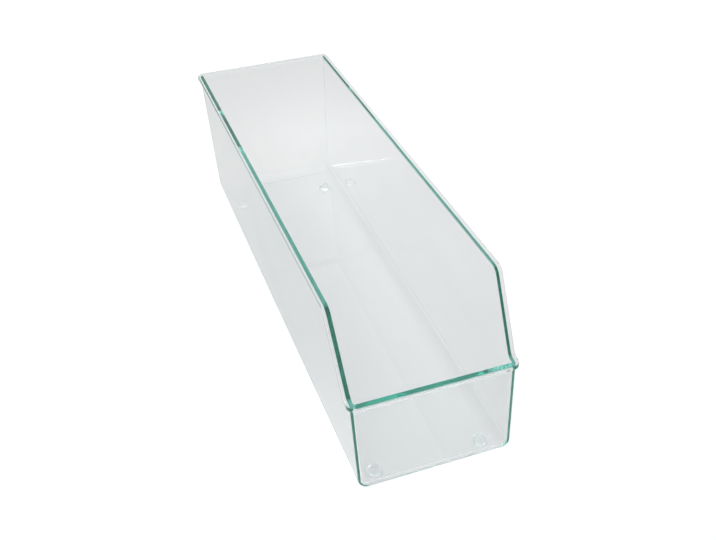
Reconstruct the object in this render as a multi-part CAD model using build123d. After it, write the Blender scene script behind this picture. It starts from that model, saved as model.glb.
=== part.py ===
from build123d import *
import math
import os

# Open-front clear storage bin: one moulded shell on four clear bumper feet.
# Frame: millimetres, +Z up, front of the bin towards -Y, long side along Y.
# The origin is under the middle of the bin, on the surface that it stands on.

# ---------------------------------------------------------------- driving dimensions

# the mouth, between the inner faces of the walls at the rim
mouth_width = 94.5
mouth_length = 360.0

# rim heights above the floor's underside
shoulder_height = 110.5
back_height = 100.3
front_height = 65.9

# the dip in each side wall, measured back from the front wall's inner face
dip_floor_length = 4.8
shoulder_setback = 28.5
shoulder_radius = 8.0
dip_radius = 4.0

# the moulding's walls
wall_thickness = 2.2
floor_thickness = 2.4
side_draft = 1.9
end_draft = 0.6

# tight upright corners, and a wide rounding where the walls turn into the floor
inner_corner = 1.2
inner_floor_fillet = 6.4

# the small lip that runs round the outside of the rim
lip_reach = 1.9
lip_thickness = 2.5
rim_edge_radius = 0.5

# the clear bumper feet
foot_diameter = 8.6
foot_height = 2.8
foot_tip_diameter = 6.4
foot_edge_radius = 0.9
foot_band_height = 0.7

# how far each foot's middle stands in from the mouth's edges, as seen from above
foot_side_inset = 14.6
foot_front_inset = 14.5
foot_back_inset = 30.0

# ---------------------------------------------------------------- worked-out values

cut_margin = 8.0
least_radius = 1.0
rim_up_limit = 0.3
rounding_steps = 6
side_lean = math.tan(math.radians(side_draft))
end_lean = math.tan(math.radians(end_draft))
rim_reach = wall_thickness + lip_reach
loft_top = shoulder_height + lip_thickness
front_rim_y = -mouth_length / 2
back_rim_y = mouth_length / 2
profile_half_width = mouth_width / 2 + rim_reach + cut_margin
profile_end = mouth_length / 2 + rim_reach + cut_margin


def outline(height, outset, side_inset=0.0, end_inset=0.0):
    """Outline of the bin at one height above the floor's underside, a set distance outside the
    inner faces of the walls. The walls lean outwards as they rise, and the insets draw the
    outline in where the walls turn into the floor."""
    half_width = mouth_width / 2 - (shoulder_height - height) * side_lean + outset
    front_y = front_rim_y - (height - front_height) * end_lean - outset
    back_y = back_rim_y + (height - back_height) * end_lean + outset
    width = 2 * (half_width - side_inset)
    length = back_y - front_y - 2 * end_inset
    shape = RectangleRounded(width, length, inner_corner + outset)
    return Pos(0, (front_y + back_y) / 2, height) * shape


def turned_in(drop, radius, draft):
    """How far a wall's rounding stands in from the plain leaning wall, a drop below its centre."""
    lean = math.radians(draft)
    tangent_drop = radius * math.sin(lean)
    if drop <= tangent_drop:
        return 0.0
    plain_wall = radius / math.cos(lean) - drop * math.tan(lean)
    return plain_wall - math.sqrt(max(radius**2 - drop**2, 0.0))


def rounded_base(floor_height, outset, radius):
    """The lowest part of a block, where a quarter round joins the walls to the floor."""
    sections = []
    for step in range(rounding_steps + 1):
        drop = radius * math.cos(math.pi / 2 * step / rounding_steps)
        side_inset = turned_in(drop, radius, side_draft)
        end_inset = turned_in(drop, radius, end_draft)
        height = floor_height + radius - drop
        sections.append(outline(height, outset, side_inset, end_inset))
    return loft(sections)


def rounded_block(floor_height, outset, radius):
    """Solid of the bin's outline, from a rounded base to past the rim."""
    base = rounded_base(floor_height, outset, radius)
    walls = loft([outline(floor_height + radius, outset), outline(loft_top, outset)], ruled=True)
    return base + walls


def line_crossing(first_point, first_direction, second_point, second_direction):
    """Where two lines of the side view meet, as (y, z)."""
    across = first_direction[0] * second_direction[1] - first_direction[1] * second_direction[0]
    gap_y = second_point[0] - first_point[0]
    gap_z = second_point[1] - first_point[1]
    along = (gap_y * second_direction[1] - gap_z * second_direction[0]) / across
    return (
        first_point[0] + along * first_direction[0],
        first_point[1] + along * first_direction[1],
    )


def unit(start, end):
    """Unit direction from one (y, z) point to another."""
    length = math.dist(start, end)
    return ((end[0] - start[0]) / length, (end[1] - start[1]) / length)


def below(point, direction, depth):
    """A point moved square to a line, to the line's lower side."""
    return (point[0] + direction[1] * depth, point[1] - direction[0] * depth)


def under_rim_face(depth):
    """Side view of everything that lies a set depth or more under the rim's top surface."""
    dip_end = (front_rim_y + dip_floor_length, front_height)
    shoulder = (front_rim_y + shoulder_setback, shoulder_height)
    back_end = (back_rim_y, back_height)
    level = (1.0, 0.0)
    slope = unit(dip_end, shoulder)
    fall = unit(shoulder, back_end)

    level_point = below(dip_end, level, depth)
    slope_point = below(shoulder, slope, depth)
    fall_point = below(shoulder, fall, depth)
    dip_corner = line_crossing(level_point, level, slope_point, slope)
    shoulder_corner = line_crossing(slope_point, slope, fall_point, fall)
    front_end = (-profile_end, front_height - depth)
    far_end = line_crossing(fall_point, fall, (profile_end, 0.0), (0.0, 1.0))

    top_line = FilletPolyline(
        front_end,
        dip_corner,
        shoulder_corner,
        far_end,
        radius=[dip_radius + depth, max(shoulder_radius - depth, least_radius)],
    )
    closing_line = Polyline(
        far_end,
        (profile_end, -cut_margin),
        (-profile_end, -cut_margin),
        front_end,
    )
    return make_face(Plane.YZ * (top_line + closing_line))


def under_rim_block(depth):
    """The side view of under_rim_face as a block wider than the bin."""
    return extrude(under_rim_face(depth), profile_half_width, both=True)


def rim_edges(shell):
    """The inner and outer edges of the rim's top surface: those that bound only one of its faces."""
    lowest_rim = front_height - rim_edge_radius
    top_faces = []
    for face in shell.faces():
        middle = face.center()
        if middle.Z > lowest_rim and face.normal_at(middle).Z > rim_up_limit:
            top_faces.append(face)
    edges = ShapeList()
    for face in top_faces:
        others = [edge for other in top_faces if other is not face for edge in other.edges()]
        for edge in face.edges():
            if not any(edge.is_same(shared) for shared in others):
                edges.append(edge)
    return edges


def make_shell():
    """The moulded bin, standing on its floor's underside at height 0."""
    outer = rounded_block(0.0, wall_thickness, inner_floor_fillet + wall_thickness)
    inner = rounded_block(floor_thickness, 0.0, inner_floor_fillet)
    lip_outline = loft([outline(0.0, rim_reach), outline(loft_top, rim_reach)], ruled=True)
    walls = outer & under_rim_block(0.0)
    lip_band = under_rim_block(0.0) - under_rim_block(lip_thickness)
    lip = lip_outline & lip_band
    shell = (walls + lip) - inner
    return fillet(rim_edges(shell), rim_edge_radius)


def make_foot():
    """A round bumper foot: wide flat seat on top, sides drawn in, soft edge at its tip."""
    seat_half = foot_diameter / 2
    tip_half = foot_tip_diameter / 2
    side = FilletPolyline(
        (seat_half, foot_height),
        (seat_half, foot_height - foot_band_height),
        (tip_half, 0.0),
        (0.0, 0.0),
        radius=[foot_edge_radius, foot_edge_radius],
    )
    rest = Polyline((0.0, 0.0), (0.0, foot_height), (seat_half, foot_height))
    return revolve(make_face(Plane.XZ * (side + rest)), Axis.Z)


def foot_places():
    """Node name and place of each foot."""
    foot_x = mouth_width / 2 - foot_side_inset
    front_y = front_rim_y + foot_front_inset
    back_y = back_rim_y - foot_back_inset
    return {
        "foot_front_left": (-foot_x, front_y),
        "foot_front_right": (foot_x, front_y),
        "foot_back_left": (-foot_x, back_y),
        "foot_back_right": (foot_x, back_y),
    }


nodes = {"bin_shell": Pos(0, 0, foot_height) * make_shell()}
for foot_name, (across, along) in foot_places().items():
    nodes[foot_name] = Pos(across, along, 0) * make_foot()

os.makedirs("parts", exist_ok=True)
for node_name, solid in nodes.items():
    export_step(solid, f"parts/{node_name}.step")
    size = solid.bounding_box().size
    print(f"{node_name}: {size.X:.1f} x {size.Y:.1f} x {size.Z:.1f} mm, {solid.volume:.0f} mm3")
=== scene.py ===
# %% [markdown]
# # A clear storage bin on a white sweep
#
# This lesson dresses a CAD part for a product picture. The part is a long, narrow, clear plastic
# bin with a scooped front, a small lip round its rim and four clear bumper feet. The shapes all
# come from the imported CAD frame; this script adds materials, light, a floor and a camera.
#
# Clear plastic is the hard part. It has no colour of its own that a lamp can show: it is drawn
# almost wholly by what it bends, mirrors and absorbs. So the lesson spends its time there.

import math

import bpy
from mathutils import Euler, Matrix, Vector


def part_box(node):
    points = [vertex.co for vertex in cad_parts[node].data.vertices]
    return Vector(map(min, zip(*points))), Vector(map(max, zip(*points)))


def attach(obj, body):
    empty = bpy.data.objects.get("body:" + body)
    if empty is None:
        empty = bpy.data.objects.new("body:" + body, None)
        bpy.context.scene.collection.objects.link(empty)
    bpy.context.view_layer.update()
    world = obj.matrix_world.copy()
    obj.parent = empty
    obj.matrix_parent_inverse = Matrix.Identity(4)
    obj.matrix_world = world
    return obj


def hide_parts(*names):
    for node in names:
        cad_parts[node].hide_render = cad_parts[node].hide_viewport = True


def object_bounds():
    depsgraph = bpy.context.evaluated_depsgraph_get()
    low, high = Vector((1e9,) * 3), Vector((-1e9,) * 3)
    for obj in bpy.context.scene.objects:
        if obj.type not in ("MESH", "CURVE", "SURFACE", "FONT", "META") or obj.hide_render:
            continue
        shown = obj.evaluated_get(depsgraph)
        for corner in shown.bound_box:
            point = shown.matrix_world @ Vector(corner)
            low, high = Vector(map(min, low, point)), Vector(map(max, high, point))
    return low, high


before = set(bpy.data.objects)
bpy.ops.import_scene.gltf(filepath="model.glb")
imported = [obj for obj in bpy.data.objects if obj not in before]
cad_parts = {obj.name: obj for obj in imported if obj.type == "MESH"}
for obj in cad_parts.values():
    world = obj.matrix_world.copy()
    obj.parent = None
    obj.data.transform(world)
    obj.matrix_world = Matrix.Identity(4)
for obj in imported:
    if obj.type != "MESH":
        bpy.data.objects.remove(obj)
cad_low, cad_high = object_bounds()
print("CAD box", [round(v, 4) for v in cad_low], [round(v, 4) for v in cad_high])

# %% [markdown]
# ## The camera
#
# The camera was solved from the photograph: straight edges of the rim and the floor gave two
# vanishing points, and a fit to the rim, the walls and the floor line gave the place, the turn
# and the focal length. The photograph was cropped off centre, so the lens is shifted a little.

# %% Place the camera
MILLIMETRE = 0.001
FRAME_WIDTH_PIXELS = 716
FOCAL_PIXELS = 1080.73
SENSOR_MILLIMETRES = 36.0
PRINCIPAL_POINT_X = 440.0
CAMERA_PLACE = Vector((-157.47, -591.68, 449.46)) * MILLIMETRE
CAMERA_TURN = (55.127, 0.533, -21.744)

camera_data = bpy.data.cameras.new("camera")
camera_data.sensor_width = SENSOR_MILLIMETRES
camera_data.lens = FOCAL_PIXELS / FRAME_WIDTH_PIXELS * SENSOR_MILLIMETRES
camera_data.shift_x = (FRAME_WIDTH_PIXELS / 2 - PRINCIPAL_POINT_X) / FRAME_WIDTH_PIXELS
camera = bpy.data.objects.new("camera", camera_data)
camera.location = CAMERA_PLACE
camera.rotation_euler = Euler([math.radians(a) for a in CAMERA_TURN])
bpy.context.scene.collection.objects.link(camera)
bpy.context.scene.camera = camera
print("lens", round(camera_data.lens, 2), "mm, shift", round(camera_data.shift_x, 4))

# %% [markdown]
# ## What a moulded surface does
#
# No moulding is optically flat. Molten plastic runs down the long walls from the gate and freezes
# in very faint waves, so a mirrored edge wobbles a little. Handling leaves patches of thin haze,
# and the tint drifts slightly from one end to the other. All three come from noise in the part's
# own coordinates, stretched along the flow. Both clear plastics use them, so they are one node
# group, which puts out a wave height, a haze mask and a tint mask.

# %% Helpers for node trees


def new_material(name):
    """A fresh node material with a Principled surface: (nodes, links, surface, material)."""
    material = bpy.data.materials.new(name)
    material.use_nodes = True
    nodes = material.node_tree.nodes
    return nodes, material.node_tree.links, nodes["Principled BSDF"], material


def add_socket(group, name, direction, kind, value=None):
    """One named socket on a node group."""
    socket = group.interface.new_socket(name=name, in_out=direction, socket_type=kind)
    if value is not None:
        socket.default_value = value
    return socket


print("helpers ready: new_material and add_socket")

# %% The moulded-surface group
WAVE_SCALE = 14.0
HAZE_SCALE = 90.0
TINT_SCALE = 5.0
FLOW_STRETCH = (1.0, 0.35, 1.0)
NOISE_DETAIL = {"Wave": 1.0, "Haze": 4.0, "Tint": 0.0}


def make_moulded_surface():
    """Waves, haze and tint drift of an injection moulding, as masks from 0 to 1."""
    group = bpy.data.node_groups.new("moulded_surface", "ShaderNodeTree")
    add_socket(group, "Wave Scale", "INPUT", "NodeSocketFloat", WAVE_SCALE)
    add_socket(group, "Haze Scale", "INPUT", "NodeSocketFloat", HAZE_SCALE)
    add_socket(group, "Tint Scale", "INPUT", "NodeSocketFloat", TINT_SCALE)
    add_socket(group, "Wave", "OUTPUT", "NodeSocketFloat")
    add_socket(group, "Haze", "OUTPUT", "NodeSocketFloat")
    add_socket(group, "Tint", "OUTPUT", "NodeSocketFloat")
    nodes, links = group.nodes, group.links
    given = nodes.new("NodeGroupInput")
    result = nodes.new("NodeGroupOutput")
    place = nodes.new("ShaderNodeTexCoord")
    along_flow = nodes.new("ShaderNodeMapping")
    along_flow.inputs["Scale"].default_value = FLOW_STRETCH
    links.new(place.outputs["Object"], along_flow.inputs["Vector"])
    for name, octaves in NOISE_DETAIL.items():
        noise = nodes.new("ShaderNodeTexNoise")
        noise.inputs["Detail"].default_value = octaves
        links.new(along_flow.outputs["Vector"], noise.inputs["Vector"])
        links.new(given.outputs[f"{name} Scale"], noise.inputs["Scale"])
        links.new(noise.outputs["Fac"], result.inputs[name])
    return group


moulded_surface = make_moulded_surface()
print("group", moulded_surface.name, "puts out", [s.name for s in moulded_surface.interface.items_tree])

# %% [markdown]
# ## Clear plastic
#
# Two things make a moulded bin look like plastic and not like air. The surface mirrors a little
# at every angle and a lot at grazing ones; a plain Principled surface with full transmission does
# that. And the body swallows a little red light on its way through. Across a 2 mm wall that is too
# faint to see, but seen end-on down the height of a wall it turns the rim dark sea green. An
# absorbing volume gives both for free, from one density.

# %% Clear plastic material
HAZE_STARTS = 0.55
HAZE_FULL = 0.8


def clear_plastic(name, body, density, ior, pale, deep, haze, wave_height):
    """Clear plastic: body is the colour that a long way through it leaves of white light, pale and
    deep are the ends of the surface's tint, haze the most roughness, wave_height in metres."""
    nodes, links, surface, material = new_material(name)
    surface.inputs["Transmission Weight"].default_value = 1.0
    surface.inputs["IOR"].default_value = ior

    absorption = nodes.new("ShaderNodeVolumeAbsorption")
    absorption.inputs["Color"].default_value = (*body, 1.0)
    absorption.inputs["Density"].default_value = density
    links.new(absorption.outputs["Volume"], nodes["Material Output"].inputs["Volume"])

    moulding = nodes.new("ShaderNodeGroup")
    moulding.node_tree = moulded_surface

    tint = nodes.new("ShaderNodeMix")
    tint.data_type = "RGBA"
    tint.inputs["A"].default_value = (*pale, 1.0)
    tint.inputs["B"].default_value = (*deep, 1.0)
    links.new(moulding.outputs["Tint"], tint.inputs["Factor"])
    links.new(tint.outputs["Result"], surface.inputs["Base Color"])

    patches = nodes.new("ShaderNodeMapRange")
    patches.inputs["From Min"].default_value = HAZE_STARTS
    patches.inputs["From Max"].default_value = HAZE_FULL
    patches.inputs["To Max"].default_value = haze
    links.new(moulding.outputs["Haze"], patches.inputs["Value"])
    links.new(patches.outputs["Result"], surface.inputs["Roughness"])

    waves = nodes.new("ShaderNodeBump")
    waves.inputs["Distance"].default_value = wave_height
    links.new(moulding.outputs["Wave"], waves.inputs["Height"])
    links.new(waves.outputs["Normal"], surface.inputs["Normal"])
    return material


shell_plastic = clear_plastic(
    "clear_plastic",
    body=(0.12, 0.70, 0.62),
    density=6.8,
    ior=1.49,
    pale=(0.995, 0.996, 0.998),
    deep=(0.965, 0.970, 0.972),
    haze=0.02,
    wave_height=0.0002,
)
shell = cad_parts["bin_shell"]
shell.data.materials.clear()
shell.data.materials.append(shell_plastic)
print("dressed", shell.name, "in", shell_plastic.name)

# %% [markdown]
# ## The bumper feet
#
# The real feet are soft clear bumpers, pressed from a sheet, with a flat seat and a domed tip.
# Their CAD solids touch the shell and the table face to face, and two clear faces in one plane
# leave a ray no way to tell which body it is in: such a foot renders black. So each foot is
# turned again here from its CAD box, a hair shorter at the seat and at the tip. The rings are
# laid down by a plain loop, so that the mesh comes out in the same order on every run.

# %% Turn one bumper
BUMPER_SEGMENTS = 64
ROUND_STEPS = 8
CONTACT_GAP = 0.03 * MILLIMETRE
BAND_SHARE = 0.25
TIP_SHARE = 0.74
EDGE_ROUND = 0.9 * MILLIMETRE
SHARP_ANGLE = 40


def bumper_profile(radius, low, high):
    """Half outline of a bumper, as (radius, height) from the middle of its tip to its seat."""
    tip_radius = radius * TIP_SHARE
    band_low = high - (high - low) * BAND_SHARE
    points = [(0.0, low), (tip_radius - EDGE_ROUND, low)]
    for step in range(1, ROUND_STEPS + 1):
        turn = math.pi / 2 * step / ROUND_STEPS
        along = (band_low - low) * (1 - math.cos(turn))
        out = (radius - tip_radius + EDGE_ROUND) * math.sin(turn)
        points.append((tip_radius - EDGE_ROUND + out, low + along))
    points += [(radius, high), (0.0, high)]
    return points


def turned_mesh(name, middle, profile):
    """A closed mesh of revolution: a point at the tip and at the seat, and rings between."""
    tip, seat = 0, 1
    points = [(middle.x, middle.y, profile[0][1]), (middle.x, middle.y, profile[-1][1])]
    rings = profile[1:-1]
    for out, up in rings:
        for step in range(BUMPER_SEGMENTS):
            turn = math.tau * step / BUMPER_SEGMENTS
            points.append((middle.x + out * math.cos(turn), middle.y + out * math.sin(turn), up))
    ring_starts = [2 + ring * BUMPER_SEGMENTS for ring in range(len(rings))]
    faces = []
    for here in range(BUMPER_SEGMENTS):
        there = (here + 1) % BUMPER_SEGMENTS
        faces.append((tip, ring_starts[0] + there, ring_starts[0] + here))
        for lower, upper in zip(ring_starts, ring_starts[1:]):
            faces.append((lower + here, lower + there, upper + there, upper + here))
        faces.append((seat, ring_starts[-1] + here, ring_starts[-1] + there))
    data = bpy.data.meshes.new(name)
    data.from_pydata(points, [], faces)
    return data


def turn_bumper(name, node):
    """A bumper of revolution in the space of one CAD foot."""
    low, high = (Vector(corner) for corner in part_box(node))
    radius = (high.x - low.x) / 2
    profile = bumper_profile(radius, low.z + CONTACT_GAP, high.z - CONTACT_GAP)
    data = turned_mesh(name, (low + high) / 2, profile)
    data.shade_smooth()
    data.set_sharp_from_angle(angle=math.radians(SHARP_ANGLE))
    bumper = bpy.data.objects.new(name, data)
    bpy.context.scene.collection.objects.link(bumper)
    return bumper


print("each bumper is turned in", BUMPER_SEGMENTS, "steps")

# %% [markdown]
# ## The bumpers' plastic
#
# Bumpers are a softer, bluer clear plastic than the bin, with a slightly lower refractive index
# and a duller skin. The bin shows them from above as pale rings, because light that meets the
# bumper's curved side bends away from the eye. The same material maker serves both plastics, so
# only the values differ.

# %% Dress and seat the four bumpers
bumper_plastic = clear_plastic(
    "clear_bumper",
    body=(0.35, 0.66, 0.62),
    density=6.0,
    ior=1.46,
    pale=(0.985, 0.990, 0.995),
    deep=(0.955, 0.975, 0.980),
    haze=0.05,
    wave_height=0.0002,
)
for node in [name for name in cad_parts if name.startswith("foot_")]:
    bumper = turn_bumper(node.replace("foot", "bumper"), node)
    bumper.data.materials.append(bumper_plastic)
    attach(bumper, "root")
    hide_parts(node)
    print(bumper.name, "has", len(bumper.data.polygons), "faces")

# %% [markdown]
# ## Long light paths
#
# Light that enters the rim runs down inside the wall, mirrored from face to face dozens of times,
# and comes out elsewhere. Each mirroring counts as a bounce, so the usual limits would cut it off
# and leave the rim black. Light also reaches the table through the bin's floor. The usual blur of
# such light would make clear plastic act like frosted glass there and throw a heavy shadow, so it
# is switched off.

# %% Light paths
MOST_BOUNCES = 320
light_paths = bpy.context.scene.cycles
light_paths.max_bounces = MOST_BOUNCES
light_paths.glossy_bounces = MOST_BOUNCES
light_paths.transmission_bounces = MOST_BOUNCES
light_paths.blur_glossy = 0.0
print("bounces", light_paths.max_bounces)

# %% [markdown]
# ## Floor and light
#
# The picture was taken on a white sweep. The floor is a plain pale grey that the light brings to
# about its own colour. Seen straight on it gets a little glow, so that it reads as white paper;
# seen in or through the bin it gets less, and that is what draws clear plastic on white.

# %% Floor
FLOOR_SIZE = 6.0
FLOOR_COLOUR = (0.728, 0.727, 0.727, 1.0)
FLOOR_ROUGHNESS = 0.6
GLOW_SEEN = 0.34
GLOW_THROUGH = 0.02
GLOW_COLOUR = (1.0, 1.0, 1.0, 1.0)
bpy.ops.mesh.primitive_plane_add(size=FLOOR_SIZE, location=(0.0, 0.0, 0.0))
floor = bpy.context.object
floor.name = "floor"
floor_nodes, floor_links, floor_surface, floor_material = new_material("white_floor")
floor_surface.inputs["Base Color"].default_value = FLOOR_COLOUR
floor_surface.inputs["Roughness"].default_value = FLOOR_ROUGHNESS
floor_surface.inputs["Emission Color"].default_value = GLOW_COLOUR


def glow_share(output, strength, before=None):
    """Adds a glow for one kind of ray to the glow before it."""
    share = floor_nodes.new("ShaderNodeMath")
    share.operation = "MULTIPLY_ADD"
    share.inputs[1].default_value = strength
    share.inputs[2].default_value = 0.0
    floor_links.new(output, share.inputs[0])
    if before is not None:
        floor_links.new(before, share.inputs[2])
    return share.outputs[0]


paths = floor_nodes.new("ShaderNodeLightPath")
glow = glow_share(paths.outputs["Is Camera Ray"], GLOW_SEEN)
glow = glow_share(paths.outputs["Is Glossy Ray"], GLOW_THROUGH, glow)
glow = glow_share(paths.outputs["Is Transmission Ray"], GLOW_THROUGH, glow)
floor_links.new(glow, floor_surface.inputs["Emission Strength"])
floor.data.materials.append(floor_material)
print("floor", FLOOR_SIZE, "m wide, glow", GLOW_SEEN, "straight on and", GLOW_THROUGH, "through the bin")

# %% [markdown]
# ## The studio round the bin
#
# A tent of white cloth lights a picture like this from every side. Here the world plays the tent:
# plain, nearly white and a little cool. It also shows in every mirroring of the plastic. Where the
# camera looks past the edge of the floor it sees plain white paper instead, so that the backdrop
# has no horizon. The shot is shown with the Standard view, because a clear thing on white needs
# its pale greys kept as they are.

# %% World
WORLD_COLOUR = (0.985, 0.988, 1.0, 1.0)
WORLD_STRENGTH = 0.85
PAPER_COLOUR = (1.0, 1.0, 1.0, 1.0)
PAPER_STRENGTH = 1.0
world = bpy.data.worlds.new("studio")
bpy.context.scene.world = world
world.use_nodes = True
world_nodes, world_links = world.node_tree.nodes, world.node_tree.links
tent = world_nodes["Background"]
tent.inputs["Color"].default_value = WORLD_COLOUR
tent.inputs["Strength"].default_value = WORLD_STRENGTH
paper = world_nodes.new("ShaderNodeBackground")
paper.inputs["Color"].default_value = PAPER_COLOUR
paper.inputs["Strength"].default_value = PAPER_STRENGTH
world_paths = world_nodes.new("ShaderNodeLightPath")
seen_world = world_nodes.new("ShaderNodeMixShader")
world_links.new(world_paths.outputs["Is Camera Ray"], seen_world.inputs["Fac"])
world_links.new(tent.outputs["Background"], seen_world.inputs[1])
world_links.new(paper.outputs["Background"], seen_world.inputs[2])
world_links.new(seen_world.outputs["Shader"], world_nodes["World Output"].inputs["Surface"])
bpy.context.scene.view_settings.view_transform = "Standard"
print("tent strength", WORLD_STRENGTH, "paper strength", PAPER_STRENGTH)

# %% [markdown]
# ## The softbox
#
# One big, soft, slightly warm lamp stands high behind the bin on its left. It gives the rim its
# thin bright edges and the table a very faint shadow, and it is weak enough that the pale walls
# keep their greys. A smaller lamp would draw hard bright lines under the bin, where the plastic
# gathers the light.

# %% Softbox
SOFTBOX_PLACE = Vector((-0.35, 0.45, 1.7))
SOFTBOX_SIZE = 1.1
SOFTBOX_POWER = 5.0
SOFTBOX_COLOUR = (1.0, 0.98, 0.95)
softbox_light = bpy.data.lights.new("softbox", "AREA")
softbox_light.shape = "SQUARE"
softbox_light.size = SOFTBOX_SIZE
softbox_light.energy = SOFTBOX_POWER
softbox_light.color = SOFTBOX_COLOUR
softbox = bpy.data.objects.new("softbox", softbox_light)
softbox.location = SOFTBOX_PLACE
softbox.rotation_euler = (-SOFTBOX_PLACE).to_track_quat("-Z", "Y").to_euler()
softbox.visible_camera = False
bpy.context.scene.collection.objects.link(softbox)
print("softbox", SOFTBOX_POWER, "W at", round(SOFTBOX_PLACE.length, 2), "m")

# %% [markdown]
# ## Pools of light on the sweep
#
# The paper in the photograph is not lit evenly. Seen through the bin it is palest behind the back
# wall, along the right wall and in the middle of the front wall, and greyer in between. Clear
# plastic has no shading of its own, so these patches of the paper are what gives the walls their
# soft shading. Four narrow lamps lay them down. Where each one goes was first found by casting
# rays from the camera down to the paper and matching the greys there, and then rounded to shares
# of the bin's own size. They shine down at a slant, because a lamp straight overhead would mirror
# in the bin's floor as a white disc from above. The slant only moves the discs: they still show
# from the back right, about 60 degrees up. Hiding the lamps from mirror rays doesn't stop that,
# most likely because a ray that mirrors in the floor's lower face comes out as a transmitted one.

# %% Pools of light
HALF_WIDTH = (cad_high[0] - cad_low[0]) / 2
HALF_LENGTH = (cad_high[1] - cad_low[1]) / 2
PLAIN_LIGHT = (1.0, 1.0, 1.0)
COOL_LIGHT = (0.93, 0.96, 1.0)
POOL_DISTANCE = 0.6
POOL_DIRECTION = Vector((-0.30, -0.40, 0.866))
POOL_SOFTNESS = 0.08
# name: (half widths to the right, half lengths back, cone in degrees, power in watts, colour)
POOLS = {
    "pool_behind": (1.3, 1.4, 24, 2.8, PLAIN_LIGHT),
    "pool_far_right": (1.5, 1.0, 20, 2.1, PLAIN_LIGHT),
    "pool_right": (1.5, 0.2, 19, 2.9, PLAIN_LIGHT),
    "pool_front": (-0.1, -0.8, 14, 8.5, COOL_LIGHT),
}
for name, (across, along, cone, power, colour) in POOLS.items():
    pool_light = bpy.data.lights.new(name, "SPOT")
    pool_light.energy = power
    pool_light.color = colour
    pool_light.spot_size = math.radians(cone)
    pool_light.spot_blend = 1.0
    pool_light.shadow_soft_size = POOL_SOFTNESS
    pool = bpy.data.objects.new(name, pool_light)
    middle = Vector((across * HALF_WIDTH, along * HALF_LENGTH, 0.0))
    pool.location = middle + POOL_DIRECTION * POOL_DISTANCE
    pool.rotation_euler = POOL_DIRECTION.to_track_quat("Z", "Y").to_euler()
    pool.visible_camera = False
    pool.visible_glossy = False
    bpy.context.scene.collection.objects.link(pool)
    print(name, power, "W in a cone of", cone, "degrees")
